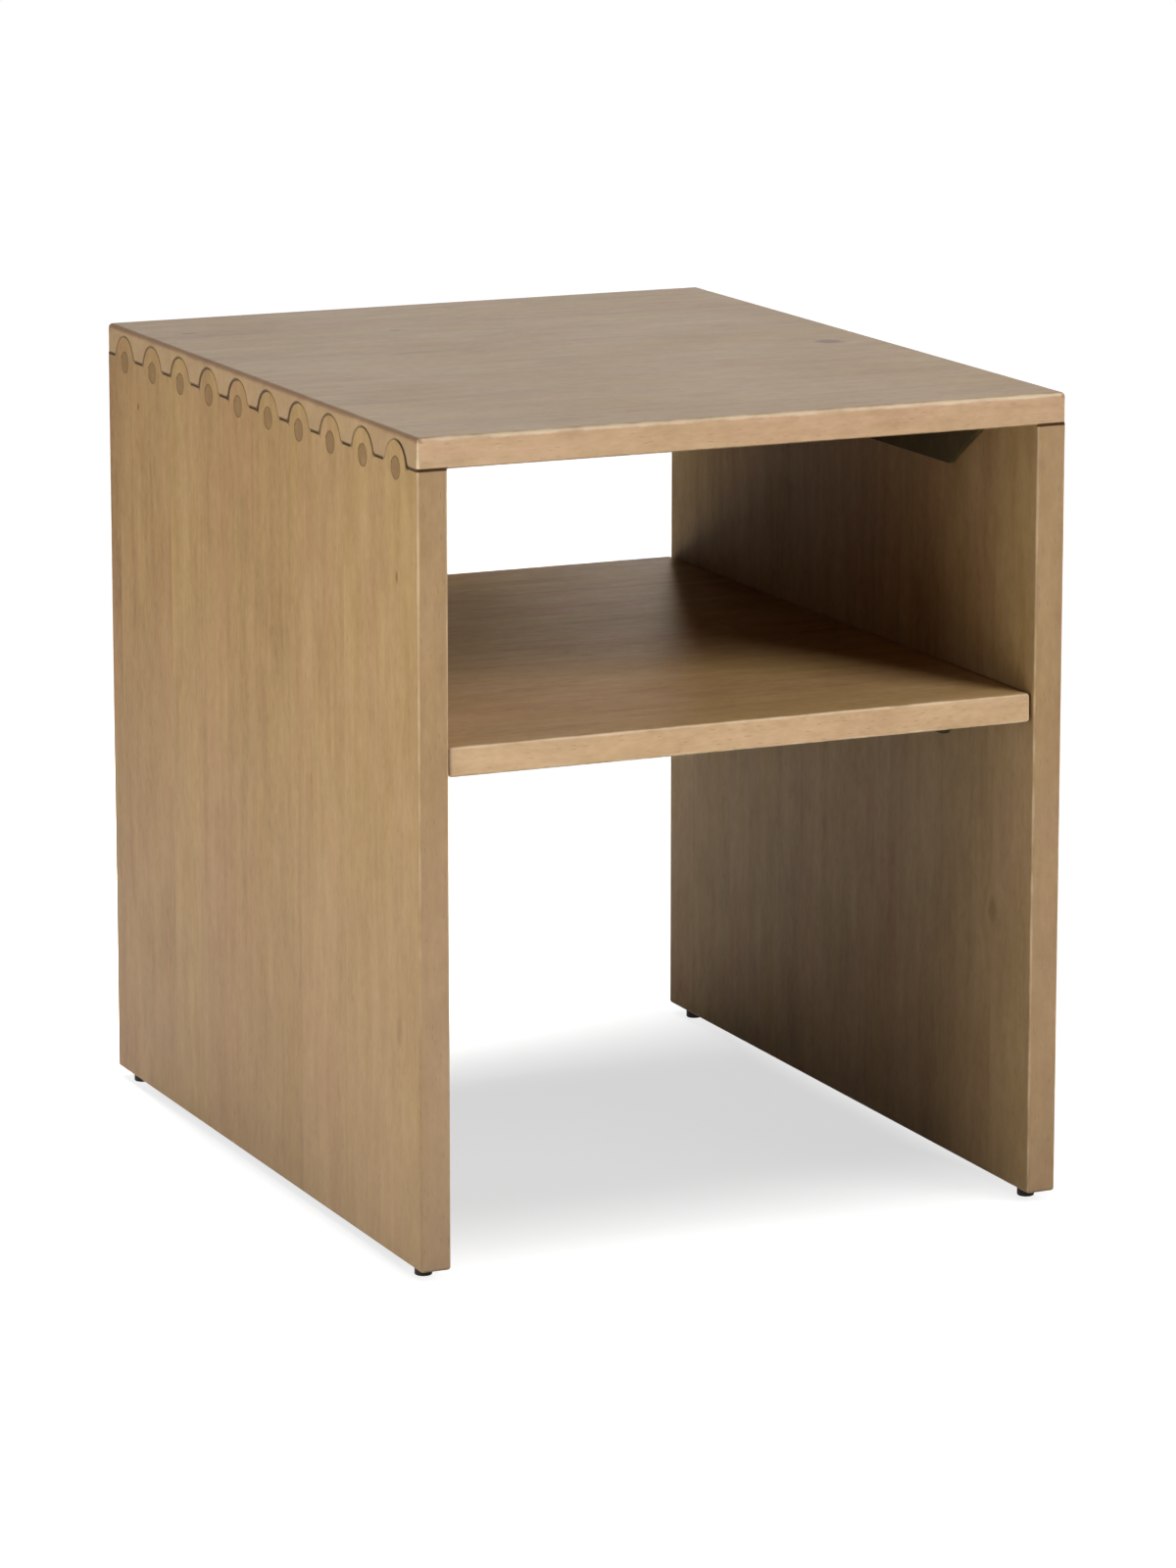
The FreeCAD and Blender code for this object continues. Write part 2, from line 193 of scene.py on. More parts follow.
# %% [markdown]
# ## The lamps
# The key soft box stands to the left and lights the left board. The fill is a large one high
# on the right, in front: it lights every front edge and leaves the bay behind the shelf dark.
# A rim light behind the table gives the top its sheen, and a small low one, on the line of
# sight, slides light through the open back along the shelf. Last come five lamps that only
# touch the floor around the table, so that the paper throws soft light up, as a large white
# studio does. It comes in low, so the shelf keeps it off the dark corner that is above it.
# A lamp also has a limit of its own for how often its light may bounce. The washes get one
# bounce, off the paper, and the low lamp gets none, which keeps that corner deep and calm.

# %% Lamps
AIM = Vector((0.0, 0.0, 0.35))      # metres, a little above the table's middle
SHELF_AIM = Vector((0.0, 0.0, 0.46))
FREE_BOUNCES = 8                    # in effect no limit
WASH_HEIGHT = 80                    # degrees, so nearly straight down
WASH_DISTANCE = 2.2                 # metres
WASHES = (                          # name, turn, size, watts, place on the floor, spread
    ("back_wash", 180, 0.5, 12.5, (-0.2, 0.8), 25),
    ("far_wash", 180, 0.5, 10, (-0.15, 1.2), 25),
    ("near_wash", 0, 0.5, 4.5, (-0.05, -0.85), 25),
    ("front_wash", 180, 0.8, 15, (-0.1, -1.3), 40),
    ("left_wash", 180, 0.8, 19, (-1.2, -0.1), 40))


def soft_box(name, turn, height, distance, size, watts, aim=AIM, spread=180,
             bounces=FREE_BOUNCES):
    """Square lamp that faces its aim; turn 0 is in front of that and 90 is to the left."""
    data = bpy.data.lights.new(name, "AREA")
    data.shape = "SQUARE"
    data.size = size
    data.energy = watts
    data.spread = math.radians(spread)
    data.cycles.max_bounces = bounces
    lamp = bpy.data.objects.new(name, data)
    level = math.cos(math.radians(height)) * distance
    rise = math.sin(math.radians(height)) * distance
    angle = math.radians(turn)
    lamp.location = aim + Vector((-math.sin(angle) * level, -math.cos(angle) * level, rise))
    lamp.rotation_euler = (aim - lamp.location).to_track_quat("-Z", "Y").to_euler()
    lamp.visible_camera = False
    bpy.context.scene.collection.objects.link(lamp)
    print(name, [round(c, 2) for c in lamp.location], watts, "W")


soft_box("key_box", 80, 3, 2.1, 1.1, 21)
soft_box("fill_box", -34, 33, 5.0, 2.2, 162)
soft_box("rim_box", 204, 30, 3.4, 1.4, 9)
soft_box("shelf_box", 207.7, 1, 1.74, 0.18, 0.7, aim=SHELF_AIM, spread=24, bounces=0)
for name, turn, size, watts, spot, spread in WASHES:
    soft_box(name, turn, WASH_HEIGHT, WASH_DISTANCE, size, watts, aim=Vector((*spot, 0)),
             spread=spread, bounces=1)

# %% [markdown]
# ## Wood: a place inside the board
# Real wood isn't a picture on a surface: it is a solid, so grain that runs along a face turns
# into end grain round the corner. The patterns below therefore read the piece's own Object
# coordinates in millimetres, turned so that X goes through the board, Y across it and Z along
# the grain.

# %% Place in the board
UPRIGHT = (0.0, 0.0, 0.0)           # grain along Z
ALONG_X = (0.0, math.radians(90), 0.0)


def board_place(tree, middle, turn):
    """Millimetres from the board's middle, with Z along the grain."""
    here = add(tree, "TexCoord").outputs["Object"]
    centred = add(tree, "VectorMath", [here, middle], operation="SUBTRACT")
    return add(tree, "Mapping", {"Vector": centred, "Rotation": turn,
                                 "Scale": (1 / MM, 1 / MM, 1 / MM)})


def box_of(node):
    """Low corner, high corner and middle of a piece."""
    low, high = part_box(node)
    return low, high, (low + high) / 2


print("middle of the top in mm:", [round(c / MM) for c in box_of("table_top")[2]])

# %% [markdown]
# ## Wood: staves
# Each board is glued up from staves. They could be cut as separate pieces, but on a lacquered
# board only their tone tells them apart. So a colour ramp with hard steps holds one stop per
# stave: how dark and how warm it is, a number that starts its own figure, and its middle.

# %% Staves
STAVE_START = 0.618                 # golden step, so that no two staves start alike
STAVE_JUMP = (730, 410, 1900)       # mm between the figures of two staves
RAMP_ZERO = 0.5                     # a ramp holds no value below 0, so darkness is raised
WANDER_SIZE = (60.0, 60.0, 210.0)   # mm, the length of a fibre's bend in each direction
WANDER = 16.0                       # mm, how far the bends reach
NOISE_MIDDLE = (0.5, 0.5, 0.5)


def stave_values(tree, place, staves):
    """Darkness, warmth, start and distance from its own middle of the stave at this place."""
    across = sum(width for width, dark, warm in staves)
    edge = 0.0
    stops = []
    for count, (width, dark, warm) in enumerate(staves):
        start = (count * STAVE_START) % 1
        stops.append((edge / across, (dark + RAMP_ZERO, warm, start,
                                      (edge + width / 2) / across)))
        edge += width
    y = add(tree, "SeparateXYZ", [place]).outputs["Y"]
    share = add(tree, "MapRange", [y, -across / 2, across / 2, 0, 1])
    ramp = add(tree, "ValToRGB", [share], stops=stops)
    ramp.color_ramp.interpolation = "CONSTANT"
    parts = add(tree, "SeparateColor", [ramp])
    off_middle = add(tree, "Math", [share, ramp.outputs["Alpha"]], operation="SUBTRACT")
    sideways = add(tree, "Math", [off_middle, across], operation="MULTIPLY")
    dark = add(tree, "Math", [parts.outputs["Red"], RAMP_ZERO], operation="SUBTRACT")
    return dark, parts.outputs["Green"], parts.outputs["Blue"], sideways


def shifted_place(tree, place, start):
    """Same place, moved far away for each stave, so that no figure runs on across a glue line.

    The fibres also wander a few millimetres from side to side, as they do in a tree.
    """
    jump = add(tree, "CombineXYZ", [start, start, start])
    far = add(tree, "VectorMath", [jump, STAVE_JUMP], operation="MULTIPLY")
    spot = add(tree, "VectorMath", [place, far], operation="ADD")
    slow = add(tree, "VectorMath", [spot, WANDER_SIZE], operation="DIVIDE")
    drift = add(tree, "TexNoise", {"Vector": slow, "Scale": 1.0, "Detail": 1.0})
    centred = add(tree, "VectorMath", [drift.outputs["Color"], NOISE_MIDDLE],
                  operation="SUBTRACT")
    sideways = add(tree, "VectorMath", [centred, (WANDER, WANDER, 0.0)], operation="MULTIPLY")
    return add(tree, "VectorMath", [spot, sideways], operation="ADD")


print("fibres bend within", WANDER / 2, "mm, about every", WANDER_SIZE[2], "mm")

# %% [markdown]
# ## Wood: soft figure
# Most of what the eye reads as grain is soft noise, stretched along the fibres. One function
# draws marks of any width and length in millimetres, and the wood is layered from it: broad
# streaks, narrow bands, short flecks, clouds and fine fibres. Real fibres are thinner than a
# tenth of a millimetre, so the finest layer is drawn as coarse as the picture can show it.

# %% Soft figure
FIGURE_ROUGHNESS = 0.55
FIBRES = (1.8, 8, 2, 0.28)          # mm across, mm along, detail and strength
FIGURE_LAYERS = (
    (15, 130, 1, 0.46),             # streaks
    (8, 36, 1, 0.17),               # bands
    (6, 12, 2, 0.36),               # flecks
    (26, 40, 2, 0.3),               # cross figure
    (60, 160, 1, 0.3))              # clouds


def figure(tree, place, across, along, detail, strength):
    """Noise about zero whose marks are so many millimetres wide and long."""
    size = (1 / across, 1 / across, 1 / along)
    scaled = add(tree, "VectorMath", [place, size], operation="MULTIPLY")
    noise = add(tree, "TexNoise", {"Vector": scaled, "Scale": 1.0, "Detail": detail,
                                   "Roughness": FIGURE_ROUGHNESS})
    return add(tree, "Math", [noise, strength, -strength / 2], operation="MULTIPLY_ADD")


def total(tree, values):
    """Sum of several values."""
    answer = values[0]
    for value in values[1:]:
        answer = add(tree, "Math", [answer, value], operation="ADD")
    return answer


print("figure has", len(FIGURE_LAYERS), "layers, and fibres", FIBRES[0], "mm wide")

# %% [markdown]
# ## Wood: growth rings
# A stave is sawn some way from the heart of the tree. The distance to that heart, divided by
# the width of a ring, counts the rings. Where the heart leans a little against the board's
# face, the rings come out as long arches, and on the board's ends as curved lines.

# %% Growth rings
RING_WIDTH = 5.5                    # mm
HEART_DEPTH = (28.0, 80.0)          # mm below the middle of the board
HEART_SIDE = 45.0                   # mm to either side of the stave's middle
HEART_LEAN = 0.035                  # mm sideways for each mm along the grain
RING_WANDER = (30, 260, 3, 16.0)    # mm across, mm along, detail and mm of reach
LATE_WOOD = (0.35, 1.0)             # part of a ring over which it darkens
RING_END = (0.96, 1.0)              # part of a ring over which the dark stops
EVEN_GROWTH = (35, 300, 2, 1.0)     # figure that fades the rings
EVEN_RANGE = (-0.25, 0.2)           # its values where rings are faintest and fullest
FAINTEST_RING = 0.15
RING_MEAN = 0.4                     # taken off, so that rings leave the mean tone alone


def heart_distance(tree, place, start, sideways):
    """Millimetres from the heart of the tree that this stave was sawn from."""
    chance = add(tree, "TexWhiteNoise", {"W": start}, noise_dimensions="1D")
    dice = add(tree, "SeparateColor", [chance.outputs["Color"]])
    axes = add(tree, "SeparateXYZ", [place])
    lean = add(tree, "MapRange", [dice.outputs["Blue"], 0, 1, -HEART_LEAN, HEART_LEAN])
    leaning = add(tree, "Math", [axes.outputs["Z"], lean], operation="MULTIPLY")
    depth = add(tree, "MapRange", [dice.outputs["Red"], 0, 1, *HEART_DEPTH])
    side = add(tree, "MapRange", [dice.outputs["Green"], 0, 1, -HEART_SIDE, HEART_SIDE])
    through = total(tree, [axes.outputs["X"], depth, leaning])
    beside = add(tree, "Math", [sideways, side], operation="ADD")
    flat = add(tree, "CombineXYZ", [through, beside, 0.0])
    return add(tree, "VectorMath", [flat], operation="LENGTH").outputs["Value"]


def growth_rings(tree, place, spot, start, sideways, strength):
    """Dark late wood, once in every ring, faded where the wood grew evenly."""
    radius = heart_distance(tree, place, start, sideways)
    wander = figure(tree, spot, *RING_WANDER)
    rings = add(tree, "Math", [total(tree, [radius, wander]), RING_WIDTH], operation="DIVIDE")
    part = add(tree, "Math", [rings], operation="FRACT")
    late = add(tree, "MapRange", [part, *LATE_WOOD, 0.0, 1.0], interpolation_type="SMOOTHSTEP")
    soft = add(tree, "MapRange", [part, *RING_END, 1.0, 0.0])
    line = add(tree, "Math", [late, soft], operation="MULTIPLY")
    even = figure(tree, spot, *EVEN_GROWTH)
    fade = add(tree, "MapRange", [even, *EVEN_RANGE, FAINTEST_RING, 1.0])
    shown = add(tree, "Math", [line, fade], operation="MULTIPLY")
    return add(tree, "Math", [shown, strength, -RING_MEAN * strength],
               operation="MULTIPLY_ADD")


print("rings", RING_WIDTH, "mm wide, round a heart", HEART_DEPTH, "mm below the board")

# %% [markdown]
# ## Wood: pores
# Hardwood carries water in open vessels. Sawn along, they show as short dark dashes that the
# stain has filled, and sawn across as dots. A real vessel is about 0.2 mm wide, too fine for a
# picture of the whole table, so these are drawn about four times as wide.

# %% Pores
PORE_CELL = (2.4, 2.4, 16.0)        # mm, the room that each vessel has
PORE_REACH = 0.2                    # radius, as a share of that room
PORE_CORE = 0.5                     # share of the radius that is fully open


def pores(tree, spot):
    """1 inside an open vessel and 0 outside."""
    size = tuple(1 / side for side in PORE_CELL)
    scaled = add(tree, "VectorMath", [spot, size], operation="MULTIPLY")
    cells = add(tree, "TexVoronoi", {"Vector": scaled, "Scale": 1.0}, feature="F1")
    return add(tree, "MapRange", [cells, PORE_REACH, PORE_REACH * PORE_CORE, 0.0, 1.0],
               interpolation_type="SMOOTHSTEP")


print("pores up to", round(2 * PORE_REACH * PORE_CELL[0], 2), "mm wide")

# %% [markdown]
# ## Wood: knots
# A knot is the root of a branch, a dark cone through the board, and the grain flows round it.
# Each knot is given by its place across and along the board, by its width and length, all in
# millimetres, and by how dark it is. Its mask darkens the wood, and a wider and softer mask
# pushes the figure aside.

# %% Knots
KNOT_EDGE = (1.15, 0.35)            # of its radius, where its dark starts and is full
KNOT_ROUGH = (3, 2, 0.5)            # marks in its radius, detail and strength
KNOT_SWAY = (3.2, 0.6)              # of its radius, where the bend starts and is full
KNOT_PUSH = 0.5                     # of its width


def knot_masks(tree, place, knots):
    """How dark a knot makes this place, and the place with its figure pushed aside."""
    dark = 0.0
    marks, detail, strength = KNOT_ROUGH
    for across, along, width, length, depth in knots:
        centre = (0.0, across, along)
        size = (0.0, 2 / width, 2 / length)
        offset = add(tree, "VectorMath", [place, centre], operation="SUBTRACT")
        scaled = add(tree, "VectorMath", [offset, size], operation="MULTIPLY")
        rough = figure(tree, place, width / marks, length / marks, detail, strength)
        distance = add(tree, "VectorMath", [scaled], operation="LENGTH").outputs["Value"]
        uneven = add(tree, "Math", [distance, rough], operation="ADD")
        mask = add(tree, "MapRange", [uneven, *KNOT_EDGE, 0.0, depth],
                   interpolation_type="SMOOTHSTEP")
        dark = add(tree, "Math", [dark, mask], operation="MAXIMUM")
        near = add(tree, "MapRange", [distance, *KNOT_SWAY, 0.0, width * KNOT_PUSH],
                   interpolation_type="SMOOTHSTEP")
        side = add(tree, "SeparateXYZ", [scaled]).outputs["Y"]
        bend = add(tree, "Math", [near, side], operation="MULTIPLY")
        aside = add(tree, "CombineXYZ", [bend, bend, 0.0])
        place = add(tree, "VectorMath", [place, aside], operation="SUBTRACT")
    return dark, place


print("grain bends within", KNOT_SWAY[0], "radii of a knot")

# %% [markdown]
# ## Wood: worn arrises, painted highlights and shade
# The sharp edges are rounded by hand with sandpaper, and later rubbed by use, so the stain is
# thin and pale there; that pale line also carries a painted highlight. A thin dark line along
# the lower edges of the top and the shelf is painted shade, and the panels' edges darken near
# the floor. The distance from an edge comes from the box of the board: the second smallest of
# the three distances to its faces. Noise along the edge breaks the line up.

# %% Worn arrises, painted highlights and shade
NO_EDGE = 9.0                       # metres, for a side that has no arris of its own
ALL_HEIGHTS = (-0.1, 0.0)           # metres, where the edge tone starts and where it is full
PATCH_DETAIL = 3
PATCH_REACH = 1.3                   # of the width, how unevenly the edge tone ends
ARRIS_CORE = 0.3                     # of the width where the edge tone is full


def arris_distance(tree, low, high):
    """Millimetres from the nearest edge of a box, measured along its faces."""
    here = add(tree, "TexCoord").outputs["Object"]
    from_low = add(tree, "VectorMath", [here, low], operation="SUBTRACT")
    from_high = add(tree, "VectorMath", [high, here], operation="SUBTRACT")
    nearest = add(tree, "VectorMath", [from_low, from_high], operation="MINIMUM")
    axes = add(tree, "SeparateXYZ", [nearest])
    x, y, z = (axes.outputs[name] for name in "XYZ")
    smaller = add(tree, "Math", [x, y], operation="MINIMUM")
    larger = add(tree, "Math", [x, y], operation="MAXIMUM")
    second = add(tree, "Math", [larger, z], operation="MINIMUM")
    metres = add(tree, "Math", [smaller, second], operation="MAXIMUM")
    return add(tree, "Math", [metres, 1 / MM], operation="MULTIPLY")


def arris_wear_and_painted_light(tree, tint, place, height, arrises):
    """Tint with each arris over it: box, tone, strength, mm wide, mm long and heights."""
    for low, high, edge_tone, strength, width, mark, heights in arrises:
        patch = figure(tree, place, mark / 2, mark, PATCH_DETAIL, width * PATCH_REACH)
        reach = total(tree, [arris_distance(tree, low, high), patch])
        worn = add(tree, "MapRange", [height, *heights, 0.0, strength])
        shown = add(tree, "MapRange", [reach, width, width * ARRIS_CORE, 0.0, worn],
                    interpolation_type="SMOOTHSTEP")
        tint = add(tree, "Mix", [shown, tint, colour(edge_tone)], data_type="RGBA")
    return tint


# The thin dark line along these lower edges is painted shade under the board.
def lower_arris(low, high):
    """Box whose only edges are the lower ones of a board's front and back."""
    return Vector((-NO_EDGE, low.y, low.z)), Vector((NO_EDGE, high.y, NO_EDGE))


print("wear is full within", ARRIS_CORE, "of its width")

# %% [markdown]
# ## Wood: the joint line
# Where the round tongues of a panel meet the coves of the top, stain and dirt collect in the
# fine gap, and with painted shade in that gap they draw a dark scalloped line. Nothing about it
# is drawn by hand: its measures come from the boxes of the pins, the panel and the top.

# %% Measures of the joint
PIN_COUNT = 10
FOOT_ROUND = 4.0 * MM

pins_low, pins_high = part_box("joint_pins_left")
panel_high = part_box("side_panel_left")[1]
pin_radius = (pins_high.z - pins_low.z) / 2
pin_z = pins_low.z + pin_radius
first_pin = pins_low.y + pin_radius
pin_pitch = (pins_high.y - pins_low.y - 2 * pin_radius) / (PIN_COUNT - 1)
seam_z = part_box("table_top")[0].z
tongue_radius = panel_high.z - pin_z
foot_z = seam_z + FOOT_ROUND
foot_y = math.sqrt((tongue_radius + FOOT_ROUND) ** 2 - (foot_z - pin_z) ** 2)
touch_y = foot_y * tongue_radius / (tongue_radius + FOOT_ROUND)
print("pins every", round(pin_pitch / MM, 1), "mm, tongues of", round(tongue_radius / MM, 1))

# %% [markdown]
# ## Wood: how far the joint line is
# The line repeats with the pins, so the place is measured from the nearest one. The distance
# to the line comes from three parts in turn: the tongue's crown, its hollow foot, and the flat
# between two tongues. On the board's long edges the seam is straight.

# %% Distance to the line
OUTER_FACE = 0.4                    # how squarely a face looks sideways to show the scallops


def ring_distance(tree, side, rise, radius):
    """Distance from a circle, for a point so far beside and above its middle."""
    offset = add(tree, "CombineXYZ", [side, rise, 0.0])
    reach = add(tree, "VectorMath", [offset], operation="LENGTH").outputs["Value"]
    beyond = add(tree, "Math", [reach, radius], operation="SUBTRACT")
    return add(tree, "Math", [beyond], operation="ABSOLUTE")


def nearest_tongue(tree, y):
    """Which tongue is nearest, counted from the front, and how far behind its middle y is."""
    from_first = add(tree, "Math", [y, first_pin], operation="SUBTRACT")
    pitches = add(tree, "Math", [from_first, pin_pitch], operation="DIVIDE")
    nearest = add(tree, "Math", [pitches], operation="ROUND")
    last = PIN_COUNT - 1
    count = add(tree, "MapRange", [nearest, 0, last, 0, last])
    beside = add(tree, "Math", [count, -pin_pitch, from_first], operation="MULTIPLY_ADD")
    return count, beside


def scallop_distance(tree, side, z, above_seam, past_foot, on_outer):
    """Metres from the scalloped line, or from the straight seam on a board's edge."""
    above_pin = add(tree, "Math", [z, pin_z], operation="SUBTRACT")
    above_foot = add(tree, "Math", [z, foot_z], operation="SUBTRACT")
    from_foot = add(tree, "Math", [side, foot_y], operation="SUBTRACT")
    crown = ring_distance(tree, side, above_pin, tongue_radius)
    foot = ring_distance(tree, from_foot, above_foot, FOOT_ROUND)
    flat = add(tree, "Math", [above_seam], operation="ABSOLUTE")
    outside = add(tree, "Math", [side, touch_y], operation="GREATER_THAN")
    low_down = add(tree, "Math", [above_foot, 0.0], operation="LESS_THAN")
    past_crown = add(tree, "Math", [outside, low_down], operation="MULTIPLY")
    line = add(tree, "Mix", [past_crown, crown, foot], data_type="FLOAT")
    line = add(tree, "Mix", [past_foot, line, flat], data_type="FLOAT")
    return add(tree, "Mix", [on_outer, flat, line], data_type="FLOAT")


print("a tongue's round meets its foot", round(touch_y / MM, 1), "mm from its middle")

# %% [markdown]
# ## Wood: how open the joint is
# The joint was pulled up from the front, so most tongues bear on their front side and show
# their gap behind. Only the first one stands open in front. A list says how open each is,
# behind it and before it, and a second colour ramp with hard steps brings it to the shader.

# %% Openness of the joint
FLAT_OPEN = 0.95                    # of the flats between the tongues, and of the board ends
TURN_OVER = (-7 * MM, 5 * MM)       # over a tongue, from its front gap to the one behind
TONGUE_GAPS = [(0.15, 1.0), (0.55, 0.7), (0.75, 0.2), (0.9, 0.15), (1.0, 0.1),
               (1.0, 0.1), (0.9, 0.15), (0.8, 0.2), (0.65, 0.3), (0.45, 0.4)]


def gap_openness(tree, count, beside, past_foot, on_outer):
    """From 0, tight, to 1, wide open."""
    share = add(tree, "Math", [count, 1 / PIN_COUNT, 0.5 / PIN_COUNT], operation="MULTIPLY_ADD")
    gaps = add(tree, "ValToRGB", [share], stops=[
        (tongue / PIN_COUNT, (behind, before, 0, 1))
        for tongue, (behind, before) in enumerate(TONGUE_GAPS)])
    gaps.color_ramp.interpolation = "CONSTANT"
    gaps = add(tree, "SeparateColor", [gaps])
    behind = add(tree, "MapRange", [beside, *TURN_OVER, 0.0, 1.0])
    opened = add(tree, "Mix", [behind, gaps.outputs["Green"], gaps.outputs["Red"]],
                 data_type="FLOAT")
    opened = add(tree, "Mix", [past_foot, opened, FLAT_OPEN], data_type="FLOAT")
    return add(tree, "Mix", [on_outer, FLAT_OPEN, opened], data_type="FLOAT")


print("gaps behind the tongues:", [behind for behind, before in TONGUE_GAPS])

# %% [markdown]
# ## Wood: the joint line as a mask
# Distance and openness meet here. An open gap looks widest at a tongue's flank, where the eye
# looks into it, and that widening is painted shade. The mask is kept to the wood over the
# panels, down to just below the seam.

# %% Mask of the joint line
GAP_REACH = (1.0 * MM, 0.3 * MM)    # where the dark line starts and where it is full
GAP_WIDER = 0.6 * MM                # how much wider an open gap is at a crown or a flat
FLANK_WIDER = 1.4 * MM              # and at a flank
FLANK_START = 0.4                   # of the tongue's radius
BELOW_SEAM = 3 * MM                 # how far down the line may reach


def joint_line(tree):
    """1 in the scalloped gap between the top and a panel, and 0 away from it."""
    axes = add(tree, "SeparateXYZ", [add(tree, "TexCoord").outputs["Object"]])
    count, beside = nearest_tongue(tree, axes.outputs["Y"])
    side = add(tree, "Math", [beside], operation="ABSOLUTE")
    above_seam = add(tree, "Math", [axes.outputs["Z"], seam_z], operation="SUBTRACT")
    past_foot = add(tree, "Math", [side, foot_y], operation="GREATER_THAN")
    normal = add(tree, "SeparateXYZ", [add(tree, "TexCoord").outputs["Normal"]])
    outward = add(tree, "Math", [normal.outputs["X"]], operation="ABSOLUTE")
    on_outer = add(tree, "Math", [outward, OUTER_FACE], operation="GREATER_THAN")

    line = scallop_distance(tree, side, axes.outputs["Z"], above_seam, past_foot, on_outer)
    opened = gap_openness(tree, count, beside, past_foot, on_outer)
    # Painted shade: the line widens at a flank, where one looks into the gap.
    wider = add(tree, "MapRange", [side, FLANK_START * tongue_radius, tongue_radius,
                                   GAP_WIDER, FLANK_WIDER])
    wider = add(tree, "Mix", [past_foot, wider, GAP_WIDER], data_type="FLOAT")
    wider = add(tree, "Math", [opened, wider], operation="MULTIPLY")
    line = add(tree, "Math", [line, wider], operation="SUBTRACT")
    shown = add(tree, "MapRange", [line, *GAP_REACH, 0.0, 1.0],
                interpolation_type="SMOOTHSTEP")

    out = add(tree, "Math", [axes.outputs["X"]], operation="ABSOLUTE")
    over_panel = add(tree, "Math", [out, -panel_high.x], operation="GREATER_THAN")
    at_seam = add(tree, "Math", [above_seam, -BELOW_SEAM], operation="GREATER_THAN")
    place = add(tree, "Math", [over_panel, at_seam], operation="MULTIPLY")
    open_gap = add(tree, "Math", [shown, opened], operation="MULTIPLY")
    return add(tree, "Math", [open_gap, place], operation="MULTIPLY")


print("an open gap is up to", round(FLANK_WIDER / MM, 1), "mm wider at a flank")

# %% [markdown]
# ## Wood: the stain
# All figure is first added up to one number, how deep the stain sits, and one ramp turns it
# into colour, so that the wood keeps one family of browns. Each board's long edges get a ramp
# of their own, because sawn and planed edges drink the stain differently. Then the tone leans
# to red or to yellow from stave to stave, and a panel greys a little towards the floor, which
# is a painted reflection of the pale paper in its lacquer.

# %% Stain
PALE, MIDDLE, DEEP = "C0A073", "A8885D", "80623F"
SAWN_EDGE = ("EACAA4", "AE8A64", 0.85)  # pale tone, deep tone and how much of them
PLANED_EDGE = ("BB9C7A", "8D7053", 0.65)
REDDISH, YELLOWISH = "FFEFFA", "FFFFEE"
FLOOR_REFLECTION_GREY = "A28C7B"
MEAN_DEPTH = 0.45
RING_STRENGTH = 0.06
FACING = (0.6, 0.95)                # how squarely a face looks that way: start and full
HUE_FIGURE = (34, 180, 2, 1.1)      # mm across, mm along, detail and strength
EVEN_HUE = 0.5                      # neither reddish nor yellowish
FLOOR_REFLECTION_HEIGHTS = (0.45, 0.05)         # metres, where the grey starts and where it is full


def edge_tint(tree, depth, tint, normal, edge):
    """Tint with the stain of a long edge where the face looks to the front or back."""
    edge_pale, edge_deep, edge_share = edge
    sawn = add(tree, "ValToRGB", [depth], stops=[
        (0.0, colour(edge_pale)), (1.0, colour(edge_deep))])
    sideward = add(tree, "Math", [add(tree, "SeparateXYZ", [normal]).outputs["Y"]],
                   operation="ABSOLUTE")
    on_edge = add(tree, "MapRange", [sideward, *FACING, 0.0, edge_share])
    return add(tree, "Mix", [on_edge, tint, sawn], data_type="RGBA")


def greyed_by_painted_reflection(tree, tint, height, share):
    """Tint that greys towards the floor, up to this share: a painted reflection of the paper.
    """
    foot = add(tree, "MapRange", [height, *FLOOR_REFLECTION_HEIGHTS, 0.0, share])
    return add(tree, "Mix", [foot, tint, colour(FLOOR_REFLECTION_GREY)], data_type="RGBA")


def warmed(tree, tint, spot, warm):
    """Tint that leans to red above the even hue and to yellow below it."""
    hue = add(tree, "Math", [warm, figure(tree, spot, *HUE_FIGURE)], operation="ADD")
    for end, tone in ((1.0, REDDISH), (0.0, YELLOWISH)):
        share = add(tree, "MapRange", [hue, EVEN_HUE, end, 0.0, 1.0])
        tint = add(tree, "Mix", [share, tint, colour(tone)], data_type="RGBA",
                   blend_type="MULTIPLY")
    return tint


print("stain runs from", PALE, "to", DEEP)

# %% [markdown]
# ## Wood: marks over the stain
# Stain fills the pores and darkens them. A knot takes it deepest, because there the fibres
# stand on end, and the ends of the board darken for the same reason.

# %% Marks
PORE_BROWN, PORE_FILL = "5E442B", 0.24
KNOT_BROWN = "5A3419"
END_BROWN, END_SHARE = "A68860", 0.35


def marked(tree, tint, vessels, knot, normal, grain):
    """Tint with filled pores, knots and darker end grain over it."""
    filled = add(tree, "Math", [vessels, PORE_FILL], operation="MULTIPLY")
    tint = add(tree, "Mix", [filled, tint, colour(PORE_BROWN)], data_type="RGBA")
    tint = add(tree, "Mix", [knot, tint, colour(KNOT_BROWN)], data_type="RGBA")
    facing = add(tree, "VectorMath", [normal, grain], operation="DOT_PRODUCT").outputs["Value"]
    facing = add(tree, "Math", [facing], operation="ABSOLUTE")
    end_grain = add(tree, "MapRange", [facing, *FACING, 0.0, END_SHARE])
    return add(tree, "Mix", [end_grain, tint, colour(END_BROWN)], data_type="RGBA")


print("pores fill to", PORE_FILL, "and board ends to", END_SHARE)

# %% [markdown]
# ## Wood: the lacquer
# The lacquer is satin: it lies over the pores without filling them, so they show in the gloss
# and give the eye soft, wide highlights. The top is polished by use. The shelf is duller, and
# its raised nap catches light from low down, which a little sheen gives it.

